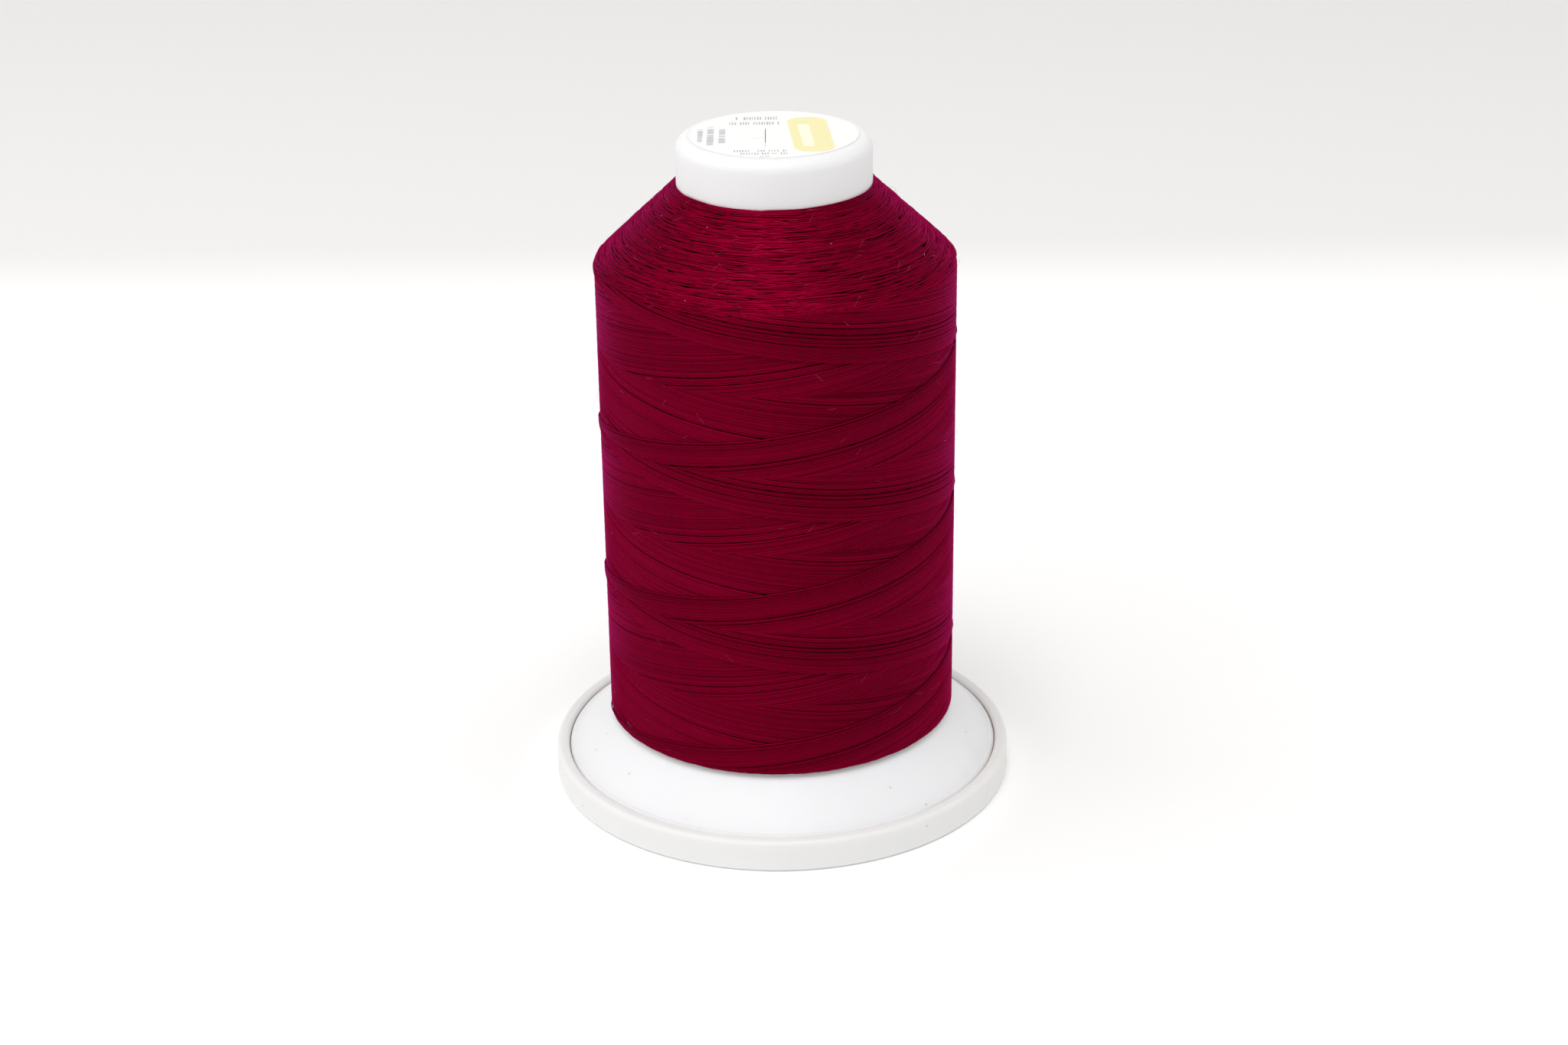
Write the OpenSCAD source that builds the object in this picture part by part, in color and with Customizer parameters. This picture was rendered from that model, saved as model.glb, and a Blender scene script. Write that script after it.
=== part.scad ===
// King spool of sewing thread with a snap base.
// A hollow barrel with a conical flange carries one cross-wound package of thread.
// A cap with a spindle sleeve closes the top, and a printed label covers the cap.
// The flange sits in a shallow snap base. Pulled apart, the two leave a gap that
// takes the end of the thread, and pushed together they pinch it.
// Origin: centre of the face that the base stands on. +Z is the spool's axis.

/* [Overall] */
// Height from the standing face to the top of the label
total_h = 109.3; // [107:0.1:114]
// Outer radius of the snap base
base_r = 38; // [37.5:0.1:40]
// Height of the snap base's rim
rim_h = 5.3; // [5.2:0.1:5.6]

/* [Barrel] */
// Outer radius of the barrel, which the thread is wound on
barrel_r = 15.35; // [15:0.05:15.8]
// Wall thickness of the barrel and of the cap's side
barrel_wall = 1.6; // [1.4:0.1:1.8]
// Slope of the conical flange above the horizontal, in degrees
flange_slope = 43.4; // [42:0.2:45]
// Wall thickness of the flange
flange_wall = 1.5; // [1.2:0.1:1.8]
// Number of gussets between the barrel and the flange
gusset_count = 8; // [4:1:12]

/* [Winding] */
// Outer radius of the thread package
winding_r = 28.5; // [27:0.1:29]
// Height of the package's upper edge on the cap
winding_top = 101.8; // [100:0.1:103]
// Radius that rounds the package's shoulder
shoulder_round = 2; // [1:0.5:4]

/* [Top cap] */
// Height of the cap's side
cap_h = 8.2; // [7.6:0.1:9]
// Radius of the cap's rounded upper edge
cap_round = 2; // [1:0.1:2.4]
// Radius of the hole for the spindle
spindle_r = 4.5; // [4:0.1:5]
// Depth of the sleeve that guides the spindle
spindle_depth = 12; // [10:0.5:14]

/* [Label] */
// Radius of the label
label_r = 13.2; // [11:0.1:13.2]
// Thickness of the label's paper
label_t = 0.12; // [0.1:0.01:0.2]

/* [Snap] */
// Travel of the spool between closed and open
snap_travel = 4; // [3:0.5:4]
// Number of snap fingers
finger_count = 4; // [3:1:4]
// Width of each finger's hook
hook_w = 8; // [6:0.5:9]

/* [Hidden] */
$fn = 96;
eps = 0.01;

// How far a cutting shape reaches past the surface that it cuts
cut = 1;

// Barrel
bore_r = barrel_r - barrel_wall;
barrel_bottom = 2.4;
cap_top = total_h - label_t;
barrel_top = cap_top - cap_h;

// Snap base
rim_t = 2.05;
rim_in_r = base_r - rim_t;
rim_round = 0.8;
rim_in_round = 0.6;
foot_edge = 0.4;
floor_low = 0.6;
floor_t = 1.5;
floor_top = floor_low + floor_t;
ledge_in_r = rim_in_r - 2.2;
ledge_top = 3.7;
ledge_fillet = 0.45;
foot_in_r = rim_in_r - 1.2;
base_bore_r = bore_r + 0.3;
hub_foot_r = base_bore_r + 2;
collar_in_r = barrel_r + 0.4;
collar_t = 1.4;
collar_out_r = collar_in_r + collar_t;
collar_top = 12.6;
finger_root = 1;
base_rib_t = 1.2;
base_rib_top = 3.2;

// Flange: its lip sits in the rim with a narrow groove round it
lip_gap = 0.12;
lip_play = 0.15;
lip_r = rim_in_r - lip_gap;
lip_top = rim_h - 0.15;
lip_low = ledge_top + lip_play;
lip_flat = 1.2;
lip_round = 0.8;
lip_bevel = 0.4;
flange_rise = tan(flange_slope);
flange_fillet = 1.2;
cone_r = lip_r - lip_flat;
cone_z = lip_top + 0.35;
cone_in_r = cone_r - 0.3;
root_r = barrel_r + 0.2;
gusset_low = collar_top + 0.6;
gusset_sink = 0.4;
gusset_t = 1.2;

// Hooks and the windows that they travel in
hook_low = 9.6;
hook_high = 11.9;
hook_flat = 1;
hook_in_r = bore_r + 0.5;
hook_play = 0.3;
window_w = hook_w + 1;
window_low = hook_low - snap_travel - hook_play;
window_high = hook_high + hook_play;
finger_slot = 1.4;
finger_w = hook_w + 1.6;

// Cap: its spigot stands in a wider seat at the barrel's mouth
plate_t = 1.6;
seat_r = bore_r + 0.2;
seat_low = barrel_top - 7.2;
spigot_gap = 0.05;
spigot_r = seat_r - spigot_gap;
spigot_t = 1.3;
spigot_low = barrel_top - 7;
spigot_tip = 0.4;
spigot_lead = 0.8;
sleeve_t = 1.4;
cap_rib_count = 4;
cap_rib_t = 1.2;

// Label slit, cut by the spindle
slit_w = 0.1;
slit_long = 10;
slit_short = 2.1;
slit_x = -1.3;
slit_y = -2.2;

// Winding
winding_gap = 0.02;
foot_round = 0.3;
foot_lift = 0.5;

// Height of the flange's outer surface at radius r
function flange_z(r) = cone_z + (cone_r - r) * flange_rise;

// Points along an arc round [cx, cy], from angle a0 to angle a1
function arc(cx, cy, r, a0, a1, n = 8) =
    [for (i = [0:n]) let (a = a0 + (a1 - a0) * i / n) [cx + r * cos(a), cy + r * sin(a)]];

// Copies the children round the axis
module around(count, turn = 0) {
    for (i = [0:count - 1])
        rotate([0, 0, turn + i * 360 / count])
            children();
}

// A plain ring between two radii and two heights
module ring(r_in, r_out, z0, z1) {
    rotate_extrude()
        translate([r_in, z0])
            square([r_out - r_in, z1 - z0]);
}

// ---------------------------------------------------------------- snap base

module cup_profile() {
    polygon(concat(
        [[foot_in_r, 0], [base_r - foot_edge, 0], [base_r, foot_edge]],
        arc(base_r - rim_round, rim_h - rim_round, rim_round, 0, 90),
        arc(rim_in_r + rim_in_round, rim_h - rim_in_round, rim_in_round, 90, 180, 4),
        [[rim_in_r, ledge_top + ledge_fillet], [rim_in_r - ledge_fillet, ledge_top],
         [ledge_in_r, ledge_top], [ledge_in_r, floor_top],
         [base_bore_r, floor_top], [base_bore_r, 0], [hub_foot_r, 0],
         [hub_foot_r, floor_low], [foot_in_r, floor_low]]
    ));
}

module collar() {
    difference() {
        ring(collar_in_r, collar_out_r, floor_top - eps, collar_top);
        around(finger_count)
            for (side = [-1, 1])
                translate([0, (side * (finger_w + finger_slot) - finger_slot) / 2, floor_top + finger_root])
                    cube([base_r / 2, finger_slot, collar_top]);
    }
}

module hook() {
    intersection() {
        rotate_extrude()
            polygon([[collar_in_r + collar_t / 2, hook_low], [hook_in_r, hook_low],
                     [hook_in_r, hook_low + hook_flat], [collar_in_r, hook_high],
                     [collar_in_r + collar_t / 2, hook_high]]);
        translate([0, -hook_w / 2, hook_low - cut])
            cube([collar_out_r + cut, hook_w, hook_high]);
    }
}

module base_rib() {
    translate([collar_out_r - collar_t / 2, -base_rib_t / 2, floor_top - eps])
        cube([ledge_in_r - collar_out_r + collar_t / 2 + eps, base_rib_t, base_rib_top - floor_top]);
}

module snap_base() {
    color([0.93, 0.93, 0.92]) {
        rotate_extrude()
            cup_profile();
        collar();
        around(finger_count)
            hook();
        around(gusset_count, 360 / gusset_count / 2)
            base_rib();
    }
}

// ------------------------------------------------------------------- barrel

// The flange's section: a thin cone that ends in a small flat lip
module flange_profile() {
    inset = flange_wall / cos(flange_slope);
    top_z = flange_z(barrel_r);
    polygon(concat(
        [[barrel_r - barrel_wall / 2, top_z - inset], [barrel_r - barrel_wall / 2, top_z + flange_fillet],
         [barrel_r, top_z + flange_fillet],
         [barrel_r + flange_fillet, flange_z(barrel_r + flange_fillet)], [cone_r, cone_z]],
        arc(lip_r - lip_round, lip_top - lip_round, lip_round, 90, 0, 4),
        [[lip_r, lip_low + lip_bevel], [lip_r - lip_bevel, lip_low],
         [cone_in_r, lip_low], [root_r, lip_low + (cone_in_r - root_r) * flange_rise]]
    ));
}

// Everything between the barrel and the flange's outer surface, above the collar
module gusset_space() {
    rotate_extrude()
        polygon([[barrel_r - barrel_wall / 2, gusset_low],
                 [barrel_r - barrel_wall / 2, flange_z(barrel_r)],
                 [barrel_r, flange_z(barrel_r) - gusset_sink],
                 [cone_r - (gusset_low + gusset_sink - cone_z) / flange_rise, gusset_low]]);
}

module gussets() {
    intersection() {
        gusset_space();
        around(gusset_count, 360 / gusset_count / 2)
            translate([0, -gusset_t / 2, 0])
                cube([base_r, gusset_t, barrel_top]);
    }
}

module hook_window() {
    translate([bore_r - cut, -window_w / 2, window_low])
        cube([barrel_wall + 2 * cut, window_w, window_high - window_low]);
}

module cap_seat() {
    translate([0, 0, seat_low])
        cylinder(h = barrel_top, r = seat_r);
}

module barrel() {
    color([0.95, 0.95, 0.94]) {
        difference() {
            ring(bore_r, barrel_r, barrel_bottom, barrel_top);
            cap_seat();
            around(finger_count)
                hook_window();
        }
        rotate_extrude()
            flange_profile();
        gussets();
    }
}

// ------------------------------------------------------------------ top cap

module cap_profile() {
    polygon(concat(
        [[spigot_r, barrel_top], [barrel_r, barrel_top]],
        arc(barrel_r - cap_round, cap_top - cap_round, cap_round, 0, 90, 12),
        [[spindle_r, cap_top], [spindle_r, cap_top - spindle_depth],
         [spindle_r + sleeve_t, cap_top - spindle_depth], [spindle_r + sleeve_t, cap_top - plate_t],
         [spigot_r - spigot_t, cap_top - plate_t], [spigot_r - spigot_t, spigot_low],
         [spigot_r - spigot_tip, spigot_low], [spigot_r, spigot_low + spigot_lead]]
    ));
}

module cap_rib() {
    rib_h = spindle_depth - 1;
    translate([spindle_r + sleeve_t / 2, -cap_rib_t / 2, cap_top - rib_h])
        cube([spigot_r - spindle_r - spigot_t / 2 - sleeve_t / 2, cap_rib_t, rib_h - plate_t / 2]);
}

module top_cap() {
    color([0.96, 0.96, 0.96]) {
        rotate_extrude()
            cap_profile();
        around(cap_rib_count, 360 / cap_rib_count / 2)
            cap_rib();
    }
}

// -------------------------------------------------------------------- label

// A paper disc, slit over the spindle hole so that a spindle can push through
module label() {
    color([0.98, 0.98, 0.97])
        difference() {
            translate([0, 0, cap_top])
                cylinder(h = label_t, r = label_r);
            translate([slit_x - slit_w / 2, slit_y - slit_long / 2, cap_top - cut])
                cube([slit_w, slit_long, 2 * cut]);
            translate([slit_x - slit_short, slit_y - slit_w / 2, cap_top - cut])
                cube([slit_short, slit_w, 2 * cut]);
        }
}

// ------------------------------------------------------------------ winding

// One thread, cross-wound. Each layer starts on the flange and has the same stroke,
// so the shoulder at the top slopes like the flange.
module winding() {
    inner_r = barrel_r + winding_gap;
    foot_z = flange_z(winding_r) + winding_gap;
    shoulder_z = winding_top - (winding_r - barrel_r) * flange_rise;
    lean = 90 - flange_slope;
    round_back = shoulder_round * tan(lean / 2);
    color([0.55, 0.0, 0.18])
        rotate_extrude()
            polygon(concat(
                [[inner_r, flange_z(barrel_r) + flange_fillet + winding_gap],
                 [barrel_r + flange_fillet, flange_z(barrel_r + flange_fillet) + winding_gap],
                 [winding_r - foot_round, foot_z + foot_round * flange_rise],
                 [winding_r, foot_z + foot_lift]],
                arc(winding_r - shoulder_round, shoulder_z - round_back, shoulder_round, 0, lean),
                [[inner_r, winding_top]]
            ));
}

snap_base();
barrel();
top_cap();
label();
winding();
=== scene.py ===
"""King spool of sewing thread: the wound thread, the label's print, finishes, light and camera.

Lengths are in millimetres unless a name or comment says otherwise, and become metres when a mesh is
made. Azimuth is measured round the spool's axis from the front (-Y), positive towards +X. A noise's
scale is in waves per metre.
"""

import math

import bpy
import numpy as np
from mathutils import Matrix, Vector


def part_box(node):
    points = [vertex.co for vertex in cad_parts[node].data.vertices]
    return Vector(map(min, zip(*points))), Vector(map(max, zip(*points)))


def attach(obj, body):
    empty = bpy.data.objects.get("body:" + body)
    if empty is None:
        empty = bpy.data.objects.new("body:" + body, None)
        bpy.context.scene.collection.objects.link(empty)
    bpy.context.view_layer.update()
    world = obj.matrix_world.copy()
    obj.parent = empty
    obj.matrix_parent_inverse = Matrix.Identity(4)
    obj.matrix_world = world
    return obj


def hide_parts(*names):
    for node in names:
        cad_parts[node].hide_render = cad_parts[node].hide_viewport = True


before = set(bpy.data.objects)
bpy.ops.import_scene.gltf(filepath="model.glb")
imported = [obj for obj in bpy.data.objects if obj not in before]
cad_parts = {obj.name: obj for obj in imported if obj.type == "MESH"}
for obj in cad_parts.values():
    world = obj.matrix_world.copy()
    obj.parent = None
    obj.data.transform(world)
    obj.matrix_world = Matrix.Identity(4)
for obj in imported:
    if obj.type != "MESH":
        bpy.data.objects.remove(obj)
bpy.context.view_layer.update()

MM = 0.001
rng = np.random.default_rng(20)


# ------------------------------------------------------------------ camera

CAMERA_PLACE = (0.0, -420.7, 227.4)
CAMERA_LENS = 64.24
CAMERA_SENSOR = 36.0
CAMERA_NEAR = 0.01  # metres
CAMERA_PITCH = 23.596  # degrees below the horizon
CAMERA_YAW = 0.108  # degrees to the right
CAMERA_ROLL = -0.759  # degrees


def make_camera():
    pitch, yaw, roll = (math.radians(a) for a in (CAMERA_PITCH, CAMERA_YAW, CAMERA_ROLL))
    ahead = Vector((math.sin(yaw) * math.cos(pitch), math.cos(yaw) * math.cos(pitch), -math.sin(pitch)))
    level = Vector((math.cos(yaw), -math.sin(yaw), 0.0))
    above = level.cross(ahead)
    right = level * math.cos(roll) + above * math.sin(roll)
    up = above * math.cos(roll) - level * math.sin(roll)
    data = bpy.data.cameras.new("camera")
    data.sensor_width = CAMERA_SENSOR
    data.lens = CAMERA_LENS
    data.clip_start = CAMERA_NEAR
    camera = bpy.data.objects.new("camera", data)
    place = Vector(CAMERA_PLACE) * MM
    camera.matrix_world = Matrix.Translation(place) @ Matrix((right, up, -ahead)).transposed().to_4x4()
    bpy.context.scene.collection.objects.link(camera)
    bpy.context.scene.camera = camera


# ------------------------------------------------------------------- light

WORLD_COLOR = (1.0, 0.99, 0.98)
WORLD_STRENGTH = 0.54
AIM = Vector((0.0, 0.0, 50.0)) * MM
# Soft square lamps round the object: azimuth and elevation in degrees, distance, width and watts
LAMPS = {
    "lamp_top": (-10, 72, 1200, 500, 4.0),
    "lamp_left": (-65, 38, 1100, 600, 1.2),
    "lamp_front": (-30, 38, 1100, 600, 0.9),
    "lamp_high_left": (-50, 62, 1200, 700, 0.5),
    "lamp_high_right": (50, 62, 1200, 700, 1.1),
    "lamp_back_left": (-105, 38, 1100, 600, 1.3),
    "lamp_back_right": (105, 38, 1100, 600, 0.8),
}


def make_light():
    world = bpy.data.worlds.new("studio")
    world.use_nodes = True
    background = world.node_tree.nodes["Background"]
    background.inputs["Color"].default_value = (*WORLD_COLOR, 1)
    background.inputs["Strength"].default_value = WORLD_STRENGTH
    bpy.context.scene.world = world
    for name, (azimuth, elevation, distance, width, watts) in LAMPS.items():
        a, e = math.radians(azimuth), math.radians(elevation)
        data = bpy.data.lights.new(name, "AREA")
        data.size = width * MM
        data.energy = watts
        lamp = bpy.data.objects.new(name, data)
        away = Vector((math.cos(e) * math.sin(a), -math.cos(e) * math.cos(a), math.sin(e)))
        lamp.location = AIM + away * distance * MM
        lamp.rotation_euler = (-away).to_track_quat("-Z", "Y").to_euler()
        bpy.context.scene.collection.objects.link(lamp)
    bpy.context.scene.view_settings.view_transform = "Standard"


# ---------------------------------------------------------------- materials


class Shader:
    """A new material with short ways to add and link nodes."""

    def __init__(self, name):
        self.material = bpy.data.materials.new(name)
        self.material.use_nodes = True
        self.tree = self.material.node_tree
        self.main = self.tree.nodes["Principled BSDF"]

    def set(self, **values):
        """Sets the main shader's own sockets, by name with _ for each space."""
        for key, value in values.items():
            self.main.inputs[key.replace("_", " ")].default_value = value

    def node(self, kind, settings=None, **inputs):
        made = self.tree.nodes.new(kind)
        for key, value in (settings or {}).items():
            setattr(made, key, value)
        for key, value in inputs.items():
            self.plug(made.inputs[key.replace("_", " ")], value)
        return made

    def plug(self, socket, value):
        if isinstance(value, bpy.types.NodeSocket):
            self.tree.links.new(value, socket)
        else:
            socket.default_value = value

    def place(self):
        """The point on the surface in the row frame, in metres."""
        return self.node("ShaderNodeTexCoord").outputs["Object"]

    def attribute(self, name):
        return self.node("ShaderNodeAttribute", {"attribute_name": name}).outputs["Fac"]

    def math(self, operation, a, b=0.0, clamp=False):
        made = self.node("ShaderNodeMath", {"operation": operation, "use_clamp": clamp})
        self.plug(made.inputs[0], a)
        self.plug(made.inputs[1], b)
        return made.outputs[0]

    def ramp(self, value, low, high):
        """0 below low, 1 above high and a smooth rise between them."""
        made = self.node("ShaderNodeMapRange", {"interpolation_type": "SMOOTHSTEP"}, Value=value)
        made.inputs["From Min"].default_value = low
        made.inputs["From Max"].default_value = high
        return made.outputs["Result"]

    def noise(self, vector, scale, detail=2.0, roughness=0.5):
        made = self.node("ShaderNodeTexNoise", None, Scale=scale, Detail=detail, Roughness=roughness)
        self.plug(made.inputs["Vector"], vector)
        return made.outputs["Fac"]

    def mix(self, factor, a, b):
        made = self.node("ShaderNodeMix", {"data_type": "RGBA"})
        self.plug(made.inputs["Factor"], factor)
        self.plug(made.inputs["A"], a)
        self.plug(made.inputs["B"], b)
        return made.outputs["Result"]

    def bump(self, height, distance_mm, strength=1.0):
        made = self.node("ShaderNodeBump", None, Strength=strength, Distance=distance_mm * MM, Height=height)
        self.plug(self.main.inputs["Normal"], made.outputs["Normal"])


DIRT = (0.56, 0.44, 0.31)
CLOUD_SHADE = 0.955  # the plastic's cloudy patches have this share of its colour
SPECK_SCALE = 520.0
SPECK_STRENGTH = 0.55
SMEAR_STRENGTH = 0.10
GRIME_LEAST = 0.04  # dirt's share of the colour in the cleanest places of the groove
GRIME_MORE = 0.14  # and what the dirty patches add to it
PLASTIC_ROUGH = 0.36
SCRATCH_SCALE = (900.0, 120.0, 500.0)


def axis_parts(shader):
    """(distance from the spool's axis, height), both in metres."""
    parts = shader.node("ShaderNodeSeparateXYZ", None, Vector=shader.place()).outputs
    squares = shader.math("ADD", shader.math("MULTIPLY", parts["X"], parts["X"]),
                          shader.math("MULTIPLY", parts["Y"], parts["Y"]))
    return shader.math("SQRT", squares), parts["Z"]


def groove_grime(shader, low_r, high_r, top_z):
    """Dirt's share of the colour in the groove between those radii, and 0 outside it."""
    radius, height = axis_parts(shader)
    past_low = shader.ramp(radius, (low_r - 0.3) * MM, low_r * MM)
    past_high = shader.ramp(radius, high_r * MM, (high_r + 0.15) * MM)
    above = shader.ramp(height, (top_z - 0.4) * MM, top_z * MM)
    inside = shader.math("MULTIPLY", past_low, shader.math("SUBTRACT", 1.0, past_high))
    inside = shader.math("MULTIPLY", inside, shader.math("SUBTRACT", 1.0, above))
    patchy = shader.ramp(shader.noise(shader.place(), 90.0, 4.0, 0.6), 0.35, 0.62)
    grime = shader.math("ADD", GRIME_LEAST, shader.math("MULTIPLY", patchy, GRIME_MORE))
    return shader.math("MULTIPLY", inside, grime)


def plastic_material(name, color, speck_amount, groove=None):
    """Moulded white polypropylene: slightly cloudy, satin, with handling marks and a few specks of
    dirt. More dirt settles in the groove, given as its two radii and its top's height."""
    shader = Shader(name)
    place = shader.place()
    cloud = shader.noise(place, 60.0, 3.0)
    surface = shader.mix(cloud, (*color, 1), (*(c * CLOUD_SHADE for c in color), 1))

    cells = shader.node("ShaderNodeTexVoronoi", {"feature": "F1"}, Scale=SPECK_SCALE)
    shader.plug(cells.inputs["Vector"], place)
    dots = shader.math("SUBTRACT", 1.0, shader.ramp(cells.outputs["Distance"], 0.05, 0.16))
    chance = shader.node("ShaderNodeSeparateColor", None, Color=cells.outputs["Color"]).outputs[0]
    few = shader.ramp(chance, 1.0 - speck_amount, 1.0 - speck_amount + 0.01)
    specks = shader.math("MULTIPLY", shader.math("MULTIPLY", dots, few), SPECK_STRENGTH)
    surface = shader.mix(specks, surface, (*DIRT, 1))
    smear = shader.ramp(shader.noise(place, 38.0, 5.0, 0.65), 0.56, 0.8)
    surface = shader.mix(shader.math("MULTIPLY", smear, SMEAR_STRENGTH), surface, (*DIRT, 1))
    if groove:
        surface = shader.mix(groove_grime(shader, *groove), surface, (*DIRT, 1))
    shader.plug(shader.main.inputs["Base Color"], surface)
    uneven = shader.math("MULTIPLY", shader.noise(place, 240.0, 4.0), 0.16)
    shader.plug(shader.main.inputs["Roughness"], shader.math("ADD", PLASTIC_ROUGH, uneven))
    shader.set(IOR=1.49, Subsurface_Weight=0.45, Subsurface_Scale=1.6 * MM,
               Subsurface_Radius=(1.0, 0.97, 0.94))
    scratches = shader.node("ShaderNodeMapping", None, Vector=place)
    scratches.inputs["Scale"].default_value = SCRATCH_SCALE
    shader.bump(shader.noise(scratches.outputs["Vector"], 1.0, 4.0, 0.7), 0.012, 0.5)
    return shader.material


def paper_material(name, color):
    """Coated label paper with fine fibres."""
    shader = Shader(name)
    place = shader.place()
    fibres = shader.noise(place, 1500.0, 4.0, 0.7)
    surface = shader.mix(fibres, (*color, 1), (*(c * 0.97 for c in color), 1))
    shader.plug(shader.main.inputs["Base Color"], surface)
    shader.set(Roughness=0.42, IOR=1.45)
    shader.bump(fibres, 0.006, 0.5)
    return shader.material


PAPER_SHOWS = 0.9  # brightness of the paper that shows through thin ink


def ink_material(name, color, strength):
    """Printed ink with paper showing through it unevenly, the more the lower its strength."""
    shader = Shader(name)
    cover = shader.ramp(shader.noise(shader.place(), 2600.0, 3.0, 0.6), 0.25, 0.75)
    worn = tuple(c * strength + PAPER_SHOWS * (1 - strength) for c in color)
    shader.plug(shader.main.inputs["Base Color"], shader.mix(cover, (*worn, 1), (*color, 1)))
    shader.set(Roughness=0.5, IOR=1.45)
    return shader.material


THREAD_COLOR = (0.30, 0.0006, 0.029)
THREAD_SHADE = (0.12, 0.0002, 0.007)
THREAD_EDGE = (1.0, 0.10, 0.58)  # what it reflects where the surface turns away
THREAD_HAZE = (1.0, 0.15, 0.52)  # the down of fine fibres that shows there too
PLY_PITCH = 0.75  # length of one turn of the two plies round each other
THREAD_ROUGH = 0.33


def thread_material(name, gloss, painted_light_scale):
    """Dyed two-ply filament thread, its colour scaled by painted_light_scale, which paints light or shade
    into it for the part of the package that it covers, and its roughness lowered by gloss. The meshes carry
    how far along the thread a point is, in millimetres, how far across it, from 0 to 1, and a random number
    for each strand."""
    shader = Shader(name)
    place = shader.place()
    along = shader.attribute("along")
    across = shader.attribute("across")
    strand = shader.attribute("strand")
    turn = shader.math("ADD", shader.math("DIVIDE", along, PLY_PITCH), shader.math("MULTIPLY", across, 0.5))
    ply = shader.math("ABSOLUTE", shader.math("SINE", shader.math("MULTIPLY", turn, 2 * math.pi)))
    mottled = shader.noise(place, 420.0, 3.0, 0.6)
    tone = shader.math("ADD", shader.math("MULTIPLY", strand, 0.45), shader.math("MULTIPLY", mottled, 0.35))
    # the ply term darkens the tone where the plies meet: painted shade in the grooves of the twist
    tone = shader.math("ADD", tone, shader.math("MULTIPLY", ply, 0.2))
    dark, bright = ((*(c * painted_light_scale for c in color), 1) for color in (THREAD_SHADE, THREAD_COLOR))
    shader.plug(shader.main.inputs["Base Color"], shader.mix(tone, dark, bright))
    rough = shader.math("ADD", THREAD_ROUGH - gloss, shader.math("MULTIPLY", mottled, 0.14))
    shader.plug(shader.main.inputs["Roughness"], rough)
    shader.set(Metallic=1.0, Specular_Tint=(*THREAD_EDGE, 1), Sheen_Weight=0.25, Sheen_Roughness=0.35,
               Sheen_Tint=(*THREAD_HAZE, 1))
    shader.bump(ply, 0.03, 0.6)
    return shader.material


def fluff_material(name, color):
    """Loose fibre or lint, uneven in tone."""
    shader = Shader(name)
    tint = shader.noise(shader.place(), 900.0, 2.0)
    surface = shader.mix(tint, (*color, 1), (*(c * 0.7 for c in color), 1))
    shader.plug(shader.main.inputs["Base Color"], surface)
    shader.set(Roughness=0.8, Sheen_Weight=0.3)
    return shader.material


# ------------------------------------------------------------------- meshes


def make_piece(name, points, faces, material, body, smooth=True):
    """A mesh piece from points in millimetres. It rides on the body, unless that is None."""
    mesh = bpy.data.meshes.new(name)
    mesh.from_pydata((np.asarray(points) * MM).tolist(), [], faces)
    mesh.update()
    mesh.polygons.foreach_set("use_smooth", [smooth] * len(mesh.polygons))
    mesh.materials.append(material)
    piece = bpy.data.objects.new(name, mesh)
    bpy.context.scene.collection.objects.link(piece)
    if body:
        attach(piece, body)
    return piece


def add_attribute(piece, name, values):
    """Gives each point of the mesh a number that a material reads."""
    layer = piece.data.attributes.new(name, "FLOAT", "POINT")
    layer.data.foreach_set("value", np.asarray(values, np.float32).ravel())


def turned(name, outline, material, body, steps=180):
    """A surface of revolution round Z. The outline is (radius, height) pairs from the bottom up."""
    outline = np.asarray(outline, float)
    angles = np.linspace(0, 2 * math.pi, steps, endpoint=False)
    levels = len(outline)
    points = np.stack([
        np.outer(np.sin(angles), outline[:, 0]),
        -np.outer(np.cos(angles), outline[:, 0]),
        np.outer(np.ones(steps), outline[:, 1]),
    ], axis=-1).reshape(-1, 3)
    faces = []
    for i in range(steps):
        j = (i + 1) % steps
        for k in range(levels - 1):
            faces.append((i * levels + k, j * levels + k, j * levels + k + 1, i * levels + k + 1))
    return make_piece(name, points, faces, material, body)


# ------------------------------------------------- the shape of the package

BARREL_R = 15.35
PACKAGE_R = 28.5
SLOPE = math.radians(43.4)  # of the cone above the shoulder, from the horizontal
FOOT_Z = 12.1
SHOULDER_Z = 89.3
SHOULDER_ROUND = 2.0
FOOT_ROUND = 0.7
LEAN = math.pi / 2 - SLOPE  # how far the package's surface turns at the shoulder
SIDE_LOW = FOOT_Z + FOOT_ROUND
SIDE_HIGH = SHOULDER_Z - SHOULDER_ROUND * math.tan(LEAN / 2)
CONE_START = SIDE_HIGH + SHOULDER_ROUND * LEAN
CONE_LENGTH = (PACKAGE_R - SHOULDER_ROUND * (1 - math.cos(LEAN)) - BARREL_R) / math.cos(SLOPE)
CONE_END = CONE_START + CONE_LENGTH


def package_point(run, lift=0.0):
    """(radius, height) on the package's outline, raised by lift. run is the distance along the outline,
    and equals the height on the straight side."""
    run = np.asarray(run, float)
    under = np.clip((SIDE_LOW - run) / FOOT_ROUND, 0, math.pi / 2)
    over = np.clip((run - SIDE_HIGH) / SHOULDER_ROUND, 0, LEAN)
    on_cone = np.clip(run - CONE_START, 0, None)
    turn = over - under
    radius = (PACKAGE_R - FOOT_ROUND * (1 - np.cos(under)) - SHOULDER_ROUND * (1 - np.cos(over))
              - on_cone * math.cos(SLOPE))
    height = (np.clip(run, SIDE_LOW, SIDE_HIGH) - FOOT_ROUND * np.sin(under)
              + SHOULDER_ROUND * np.sin(over) + on_cone * math.sin(SLOPE))
    return radius + lift * np.cos(turn), height + lift * np.sin(turn), turn


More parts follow.
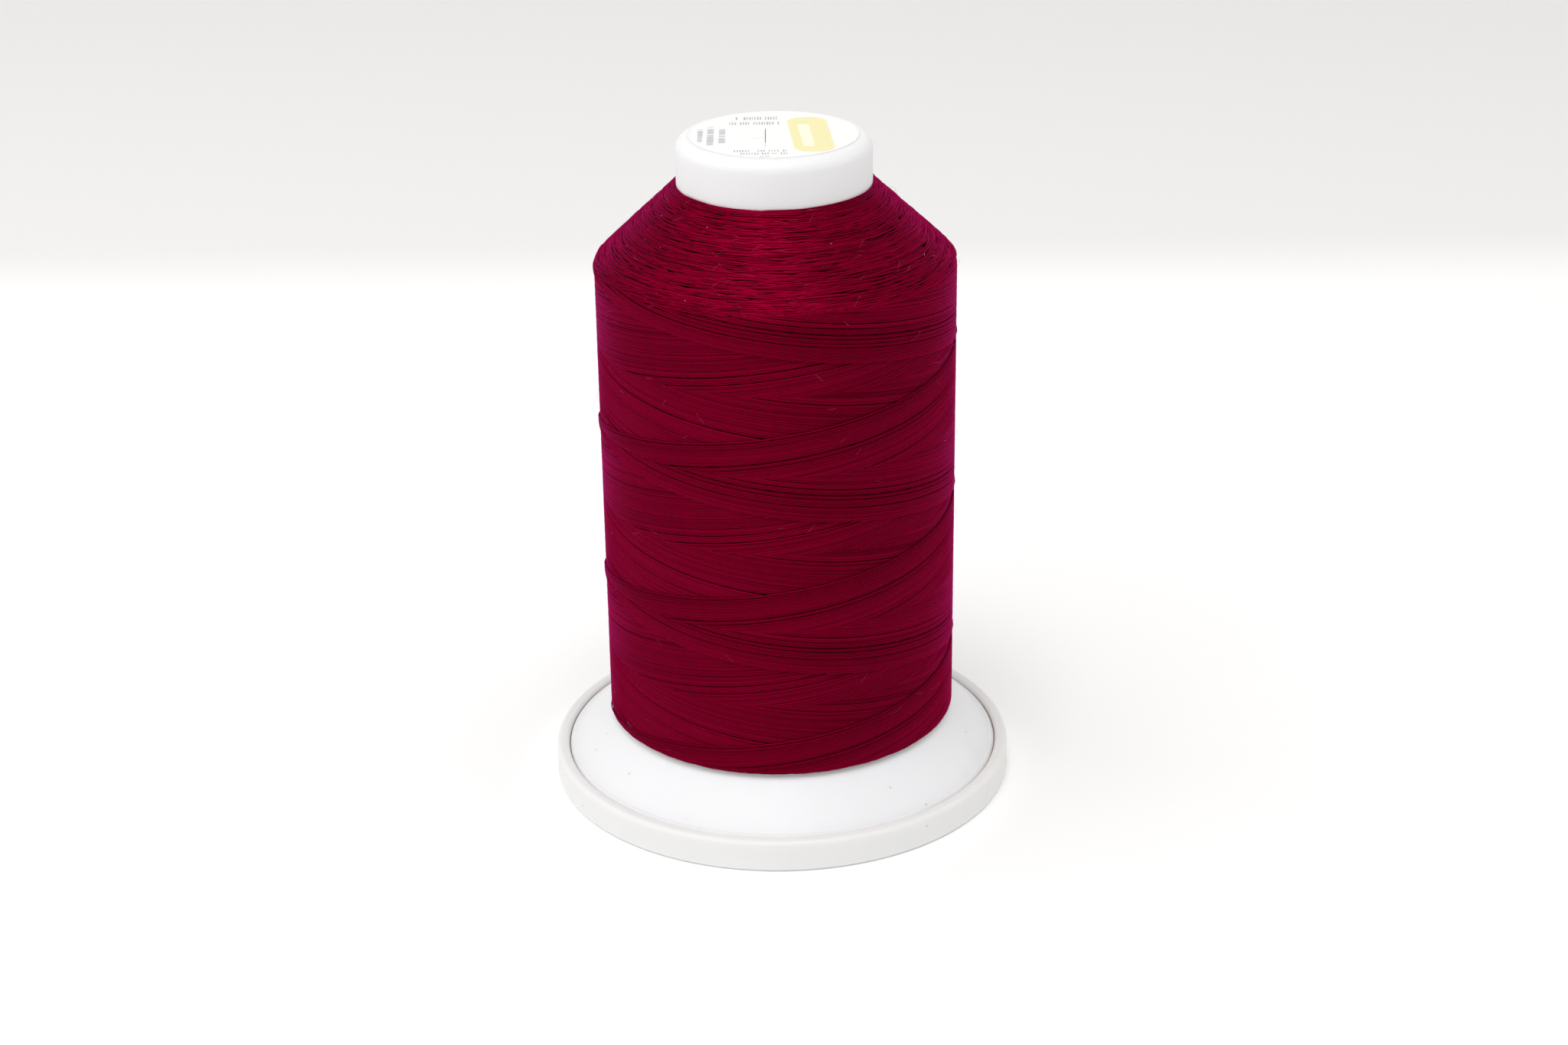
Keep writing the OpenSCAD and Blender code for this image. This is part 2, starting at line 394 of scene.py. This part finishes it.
class Strands:
    """Collects strands of thread that lie on the package, and makes one piece of them."""

    PROFILE = np.radians([0, 42, 90, 138, 180])

    def __init__(self):
        self.points, self.along, self.across, self.shade, self.counts = [], [], [], [], []

    def add(self, azimuth, run, lift, width, thickness):
        """azimuth, run and lift of the strand's underside, as arrays."""
        radius, height, turn = package_point(run, lift)
        center = np.stack([radius * np.sin(azimuth), -radius * np.cos(azimuth), height], axis=-1)
        level = np.cos(turn)
        out = np.stack([level * np.sin(azimuth), -level * np.cos(azimuth), np.sin(turn)], axis=-1)
        forward = np.gradient(center, axis=0)
        forward /= np.linalg.norm(forward, axis=1, keepdims=True)
        side = np.cross(out, forward)
        ring = (center[:, None, :]
                + side[:, None, :] * (np.cos(self.PROFILE) * width / 2)[None, :, None]
                + out[:, None, :] * (np.sin(self.PROFILE) * thickness)[None, :, None])
        steps = np.linalg.norm(np.diff(center, axis=0), axis=1)
        distance = np.concatenate([[0], np.cumsum(steps)]) + rng.uniform(0, 5)
        n, m = len(center), len(self.PROFILE)
        self.points.append(ring.reshape(-1, 3))
        self.along.append(np.repeat(distance, m))
        self.across.append(np.tile(np.linspace(0, 1, m), n))
        self.shade.append(np.full(n * m, rng.uniform()))
        self.counts.append(n)

    def faces(self):
        m = len(self.PROFILE)
        quads, start = [], 0
        for n in self.counts:
            i = np.arange(n - 1)[:, None] * m + np.arange(m - 1)[None, :] + start
            quads.append(np.stack([i, i + 1, i + m + 1, i + m], axis=-1).reshape(-1, 4))
            start += n * m
        return np.concatenate(quads)

    def piece(self, name, material):
        made = make_piece(name, np.concatenate(self.points), self.faces().tolist(), material, "spool")
        add_attribute(made, "along", np.concatenate(self.along))
        add_attribute(made, "across", np.concatenate(self.across))
        add_attribute(made, "strand", np.concatenate(self.shade))
        return made


# --------------------------------------------------------- the wound thread

LEAD = 26.0  # rise of one turn
PER_LEAD = 96  # strands of one family side by side in one lead
STRAND_W = LEAD / PER_LEAD * 1.12  # a little wider than its share, so that neighbours overlap
STRAND_T = 0.19
LAYER_T = 0.30  # what one pass of a family adds to the package
EDGE_UP = 18.0  # height at the front of the leading edge that climbs to the right
EDGE_DOWN = 30.9  # and of the one that climbs to the left
END_DIP = 0.5  # a strand's two ends sink by this under their neighbours
END_LENGTH = 5.0  # over this length
LEVEL_REACH = 1.0  # a strand slows to level over this height at each end
ARC_STEP = 3.0  # degrees between a strand's points
# Open gaps between strands: how far behind the leading edge, as a share of a lead, and how wide in strands
GAPS_UP = ((0.012, 0.5), (0.15, 1.0), (0.17, 0.5), (0.33, 0.5), (0.60, 0.8), (0.64, 0.6))
GAPS_DOWN = ((0.10, 0.6), (0.14, 0.7), (0.165, 1.1), (0.19, 0.7), (0.22, 0.6), (0.37, 0.5), (0.47, 1.1),
             (0.72, 0.5))


def wobble(azimuth, size):
    """A slow random wander."""
    total = np.zeros_like(azimuth)
    for waves in (0.7, 1.6, 3.1, 6.3):
        total += np.sin(azimuth * waves + rng.uniform(0, 2 * math.pi)) * rng.uniform(0.3, 1.0) / waves ** 0.5
    return total * size


def spacings(gaps):
    """Distances from a family's leading edge back to its strands: uneven, with the open gaps."""
    steps = rng.normal(1.0, 0.09, PER_LEAD).clip(0.6, 1.6)
    for share, width in gaps:
        steps[int(share * PER_LEAD)] += width
    places = np.cumsum(steps)
    return (places - places[0]) / places[-1] * LEAD


def level_off(run, low, high):
    """Slows a climbing strand to level at its two ends."""
    reach = LEVEL_REACH
    run = np.clip(run, low - reach, high + reach)
    run = np.where(run > high - reach, high - (high + reach - run) ** 2 / (4 * reach), run)
    return np.where(run < low + reach, low + (run - low + reach) ** 2 / (4 * reach), run)


def wind_family(climb, material):
    """The strands that climb one way round: climb is 1 to the right and -1 to the left. Each pass laid its
    strands beside the last, so their age rises from the leading edge, and the younger family is on top
    wherever the two cross."""
    edge, other_edge = (EDGE_UP, EDGE_DOWN) if climb > 0 else (EDGE_DOWN, EDGE_UP)
    per_radian = LEAD / (2 * math.pi)
    halves = (Strands(), Strands())
    for rank, back in enumerate(spacings(GAPS_UP if climb > 0 else GAPS_DOWN)):
        age = rank / PER_LEAD
        start = edge - climb * back
        low = SIDE_LOW - 0.35 + rng.uniform(-0.12, 0.12)
        high = SIDE_HIGH + rng.uniform(0.4, 2.6)
        first = (low - LEVEL_REACH - start) / per_radian
        last = (high + LEVEL_REACH - start) / per_radian
        azimuth = np.arange(first, last, math.radians(ARC_STEP)) * climb
        free_run = start + climb * azimuth * per_radian + wobble(azimuth, 0.03)
        run = level_off(free_run, low, high)
        other_line = other_edge - climb * azimuth * per_radian
        other_age = np.mod(climb * (free_run - other_line) / LEAD, 1.0)
        above = np.clip((other_age - age) * PER_LEAD, -1, 1)
        surface = LAYER_T * ((1 - age) + (1 - other_age) - 1)
        lift = surface - LAYER_T * (1 - above) / 2 - STRAND_T / 2
        from_end = np.minimum(np.abs(azimuth - azimuth[0]), np.abs(azimuth - azimuth[-1])) * PACKAGE_R
        lift -= END_DIP * np.clip(1 - from_end / END_LENGTH, 0, 1) ** 2
        halves[2 * rank // PER_LEAD].add(azimuth, run, lift, STRAND_W * rng.uniform(0.94, 1.08),
                                         STRAND_T * rng.uniform(0.92, 1.08))
    side = "right" if climb > 0 else "left"
    for number, strands in enumerate(halves, 1):
        strands.piece(f"thread_{side}_{number}", material)


ROW_PITCH = 0.27  # distance between rows of arcs, up the cone
ARC_REACH = 5.5  # half the length of the arc that shows where a strand turns back
ARC_FALL = 0.24  # how far its two ends fall from its crest
ARC_DIP = 0.22  # and how far they sink under the other arcs
EDGE_CALM = 2.5  # the fall and the unevenness fade out over this distance below the upper edge


def wind_shoulder(material):
    """The cone at the top shows the crests of the turns, where each layer's strands reverse."""
    strands = Strands()
    rows = int((CONE_END - SIDE_HIGH - 0.6) / ROW_PITCH)
    for row in range(rows):
        level = SIDE_HIGH + 0.9 + row * ROW_PITCH
        calm = min(1.0, 0.15 + (CONE_END - level) / EDGE_CALM)
        radius = float(package_point(level)[0])
        count = max(6, round(2 * math.pi * radius / ARC_REACH))
        offset = rng.uniform(0, 2 * math.pi)
        for k in range(count):
            half = ARC_REACH * rng.uniform(0.55, 1.5) / radius
            middle = offset + (k + rng.uniform(-0.4, 0.4)) * 2 * math.pi / count
            t = np.linspace(-1, 1, 11)
            skew = rng.uniform(-0.25, 0.25)
            run = level + (rng.normal(0, 0.05) - ARC_FALL * (t - skew) ** 2 * rng.uniform(0.6, 1.3)) * calm
            lift = rng.uniform(-0.13, 0.13) - ARC_DIP * t ** 4
            run = np.minimum(run, CONE_END - 0.1)
            strands.add(middle + half * t, run, lift, STRAND_W * rng.uniform(0.72, 1.0), STRAND_T * 1.15)
    return strands.piece("thread_shoulder", material)


CORE_DEPTH = 1.0  # how far the core surface lies under the package's


def make_core(material):
    """The surface just under the strands, with the package's hidden foot."""
    runs = np.concatenate([np.linspace(SIDE_LOW - FOOT_ROUND * 1.2, SIDE_LOW, 5), np.linspace(20, 84, 17),
                           np.linspace(SIDE_HIGH, CONE_START, 6), np.linspace(CONE_START + 1, CONE_END, 14)])
    radius, height, _ = package_point(runs, -CORE_DEPTH)
    foot = [(BARREL_R + 0.3, FOOT_Z + (PACKAGE_R - BARREL_R) * math.tan(SLOPE) - 0.4)]
    outline = foot + list(zip(radius, height)) + [(BARREL_R + 0.02, height[-1])]
    core = turned("winding_core", outline, material, "spool")
    n = len(core.data.vertices)
    add_attribute(core, "along", np.zeros(n))
    add_attribute(core, "across", np.zeros(n))
    # the core takes a dark tone from this fixed strand number: painted shade where it shows in the gaps
    # between strands
    add_attribute(core, "strand", np.full(n, 0.1))
    return core


def make_winding():
    # the two copies of the thread differ in painted light: the shoulder's is scaled lighter, a painted
    # highlight on the cone, and is a little glossier
    side = thread_material("thread_side", 0.0, 0.84)
    shoulder = thread_material("thread_shoulder", 0.06, 1.12)
    core = make_core(side)
    wind_family(1, side)
    wind_family(-1, side)
    wind_shoulder(shoulder)
    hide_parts("winding")


# -------------------------------------------------------------------- fluff


# Name, colour, how many, range of lengths and radius
FLUFF = (
    ("thread_fibres", (0.45, 0.02, 0.08), 170, (0.8, 2.6), 0.014),
    ("lint", (0.85, 0.62, 0.52), 46, (0.15, 0.45), 0.035),
)


def fibre_points(azimuth, run, length, bend):
    """A stray fibre that leaves the surface and curls back to it."""
    t = np.linspace(0, 1, 9)
    lift = length * 0.35 * np.sin(math.pi * t * 0.8) * bend
    drift = length * t
    radius = float(package_point(run)[0])
    heading = rng.uniform(-0.9, 0.9)
    r, h, _ = package_point(run + drift * math.sin(heading), lift)
    a = azimuth + drift * math.cos(heading) / radius
    return np.stack([r * np.sin(a), -r * np.cos(a), h], axis=-1)


def tube(centers, radius, sides=4):
    """Points and faces of a thin tube along a line."""
    forward = np.gradient(centers, axis=0)
    forward /= np.linalg.norm(forward, axis=1, keepdims=True)
    side = np.cross(forward, [0, 0, 1.0])
    side /= np.linalg.norm(side, axis=1, keepdims=True) + 1e-9
    up = np.cross(side, forward)
    turn = np.linspace(0, 2 * math.pi, sides, endpoint=False)
    ring = centers[:, None] + radius * (side[:, None] * np.cos(turn)[None, :, None]
                                        + up[:, None] * np.sin(turn)[None, :, None])
    faces = []
    for i in range(0, (len(centers) - 1) * sides, sides):
        for j in range(sides):
            k = (j + 1) % sides
            faces.append((i + j, i + k, i + sides + k, i + sides + j))
    return ring.reshape(-1, 3), faces


def make_fluff():
    """Loose fibres of the thread, and pale flecks of lint that cling to it."""
    for name, color, count, lengths, radius in FLUFF:
        points, faces, total = [], [], 0
        for _ in range(count):
            run = rng.choice([rng.uniform(SIDE_LOW, SIDE_HIGH), rng.uniform(SIDE_HIGH, CONE_END - 1)])
            azimuth = rng.uniform(-math.pi, math.pi)
            line = fibre_points(azimuth, run, rng.uniform(*lengths), rng.uniform(0.3, 1.0))
            ring, quads = tube(line, radius)
            points.append(ring)
            faces += [tuple(i + total for i in q) for q in quads]
            total += len(ring)
        piece = make_piece(name, np.concatenate(points), faces, fluff_material(name, color), "spool")


# -------------------------------------------------------------------- label

LABEL_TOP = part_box("label")[1].z / MM
PRINT_T = 0.02
# Each line of print: middle of the line, its length and height, and its direction in degrees
PRINT_LINES = (
    ((-11.4, -0.6), 7.0, 0.9, 90),
    ((-9.8, -0.8), 10.4, 1.2, 90),
    ((-8.0, -1.0), 7.8, 1.2, 90),
    ((-2.6, 8.9), 6.7, 1.9, 0),
    ((-3.0, 6.0), 7.9, 1.7, 0),
    ((-4.9, -9.5), 2.4, 1.0, 0),
    ((-0.3, -9.5), 4.3, 1.0, 0),
    ((-4.2, -11.0), 3.4, 1.0, 0),
    ((-1.3, -11.0), 1.1, 1.0, 0),
    ((1.0, -11.0), 2.5, 1.0, 0),
    ((-1.3, -12.6), 1.6, 0.4, 0),
)
TICK_PITCH = 0.42
TICK_SHARE = 0.86  # the share of a line's places that have a tick
PATCH_MIDDLE = (5.7, -0.5)
PATCH_SIZE = (6.2, 19.6)
PATCH_ROUND = 2.6
PATCH_TURN = 4.0  # degrees
BAR_MIDDLE = (5.0, -1.0)
BAR_SIZE = (1.8, 12.5)
BAR_ROUND = 0.4


def flat_prism(outline, low, high):
    """Points and faces of a thin plate with that outline."""
    n = len(outline)
    points = [(x, y, low) for x, y in outline] + [(x, y, high) for x, y in outline]
    faces = [tuple(range(n, 2 * n))] + [(i, (i + 1) % n, n + (i + 1) % n, n + i) for i in range(n)]
    return points, faces


def turned_point(middle, x, y, turn):
    """The point (x, y) turned about the origin and then moved to the middle."""
    return (middle[0] + x * math.cos(turn) - y * math.sin(turn),
            middle[1] + x * math.sin(turn) + y * math.cos(turn))


def print_line(middle, length, height, direction):
    """Plain upright ticks in groups, which stand for a line of small print."""
    turn = math.radians(direction)
    points, faces = [], []
    across = -length / 2
    while across < length / 2:
        if rng.uniform() < TICK_SHARE:
            half = height * rng.uniform(0.72, 1.0) / 2
            end = across + rng.uniform(0.14, 0.26)
            corners = ((across, -half), (end, -half), (end, half), (across, half))
            outline = [turned_point(middle, x, y, turn) for x, y in corners]
            made, quads = flat_prism(outline, LABEL_TOP, LABEL_TOP + PRINT_T)
            faces += [tuple(i + len(points) for i in q) for q in quads]
            points += made
        across += TICK_PITCH
    return points, faces


def make_print():
    """All the lines of small print, as one piece."""
    points, faces = [], []
    for line in PRINT_LINES:
        made, quads = print_line(*line)
        faces += [tuple(i + len(points) for i in q) for q in quads]
        points += made
    ink = ink_material("ink", (0.40, 0.40, 0.43), 0.7)
    piece = make_piece("label_print", points, faces, ink, "spool", smooth=False)


def rounded_plate(middle, size, corner, low, high):
    """Points and faces of a thin rectangle with round corners, turned like the label's patch."""
    half_w, half_h = size[0] / 2, size[1] / 2
    turn = math.radians(PATCH_TURN)
    outline = []
    for cx, cy, start in ((1, 1, 0), (-1, 1, 90), (-1, -1, 180), (1, -1, 270)):
        for step in range(7):
            a = math.radians(start + step * 15)
            x = cx * (half_w - corner) + corner * math.cos(a)
            y = cy * (half_h - corner) + corner * math.sin(a)
            outline.append(turned_point(middle, x, y, turn))
    return flat_prism(outline, low, high)


def make_patch():
    """The plain yellow patch on the label's right side, with a plain pale bar on it."""
    patch_top = LABEL_TOP + PRINT_T * 0.6
    makes = (
        ("label_patch", PATCH_MIDDLE, PATCH_SIZE, PATCH_ROUND, LABEL_TOP, patch_top,
         ink_material("yellow_ink", (0.88, 0.81, 0.38), 0.75)),
        ("label_bar", BAR_MIDDLE, BAR_SIZE, BAR_ROUND, patch_top, LABEL_TOP + PRINT_T,
         ink_material("pale_ink", (0.93, 0.90, 0.70), 0.8)),
    )
    for name, middle, size, corner, low, high, ink in makes:
        points, faces = rounded_plate(middle, size, corner, low, high)
        make_piece(name, points, faces, ink, "spool", smooth=False)


# ------------------------------------------------------------ plastic parts

RIM_IN_R = 35.95  # inside of the base's rim
LIP_R = 35.5  # the flange's edge, which leaves a narrow groove inside the rim
RIM_TOP = 5.3


def finish_cad():
    """Materials for the CAD nodes that show."""
    base_groove = (LIP_R, RIM_IN_R, RIM_TOP)
    barrel_groove = (LIP_R - 0.1, RIM_IN_R, RIM_TOP)
    finishes = {
        "snap_base": plastic_material("base_plastic", (0.865, 0.868, 0.86), 0.05, base_groove),
        # the barrel's plastic is set lighter than the base's and cap's, partly painted light that offsets
        # the shade it gets beside the wound thread
        "barrel": plastic_material("barrel_plastic", (0.92, 0.93, 0.955), 0.06, barrel_groove),
        "top_cap": plastic_material("cap_plastic", (0.90, 0.90, 0.91), 0.01),
        "label": paper_material("label_paper", (0.93, 0.93, 0.93)),
    }
    for node, material in finishes.items():
        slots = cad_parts[node].data.materials
        if len(slots):
            slots[0] = material
        else:
            slots.append(material)


# -------------------------------------------------------------------- stage

BACKDROP_Y = 1000.0
BACKDROP_ROUND = 250.0
STAGE_FRONT = -1500.0
STAGE_HALF = 2200.0
STAGE_TOP = 1800.0
TABLE_END = 235.0  # the white table blends into the backdrop's painted shade from this Y
BACKDROP_START = 290.0  # to this one
TABLE_COLOR = (0.97, 0.97, 0.97)
TABLE_GLOW = 0.06  # painted light: the sweep faintly glows though it is no lamp, which weakens its shadows
# painted shade: the far part of the same paper sweep is coloured greyer, where the backdrop gets less light
BACKDROP_SHADE_COLOR = (0.83, 0.82, 0.81)


def make_stage():
    """A pale seamless sweep: floor, curve and wall."""
    profile = [(STAGE_FRONT, 0.0)]
    for step in range(13):
        a = math.radians(step * 7.5)
        profile.append((BACKDROP_Y - BACKDROP_ROUND + BACKDROP_ROUND * math.sin(a),
                        BACKDROP_ROUND - BACKDROP_ROUND * math.cos(a)))
    profile.append((BACKDROP_Y, STAGE_TOP))
    points = [(x, y, z) for x in (-STAGE_HALF, STAGE_HALF) for y, z in profile]
    n = len(profile)
    faces = [(i, i + 1, n + i + 1, n + i) for i in range(n - 1)]
    shader = Shader("studio_paper")
    place = shader.place()
    grain = shader.noise(place, 25.0, 3.0)
    back = shader.node("ShaderNodeSeparateXYZ", None, Vector=place).outputs["Y"]
    # the paper turns greyer past TABLE_END: painted shade for the less-lit backdrop
    far = shader.ramp(back, TABLE_END * MM, BACKDROP_START * MM)
    table = shader.mix(grain, (*TABLE_COLOR, 1), (*(c * 0.985 for c in TABLE_COLOR), 1))
    shader.plug(shader.main.inputs["Base Color"], shader.mix(far, table, (*BACKDROP_SHADE_COLOR, 1)))
    # the emission is painted light that lifts the sweep's shadows
    shader.set(Roughness=0.9, Emission_Color=(1.0, 1.0, 1.0, 1), Emission_Strength=TABLE_GLOW)
    make_piece("stage_sweep", points, faces, shader.material, None)


make_camera()
make_light()
make_stage()
finish_cad()
make_winding()
make_fluff()
make_print()
make_patch()
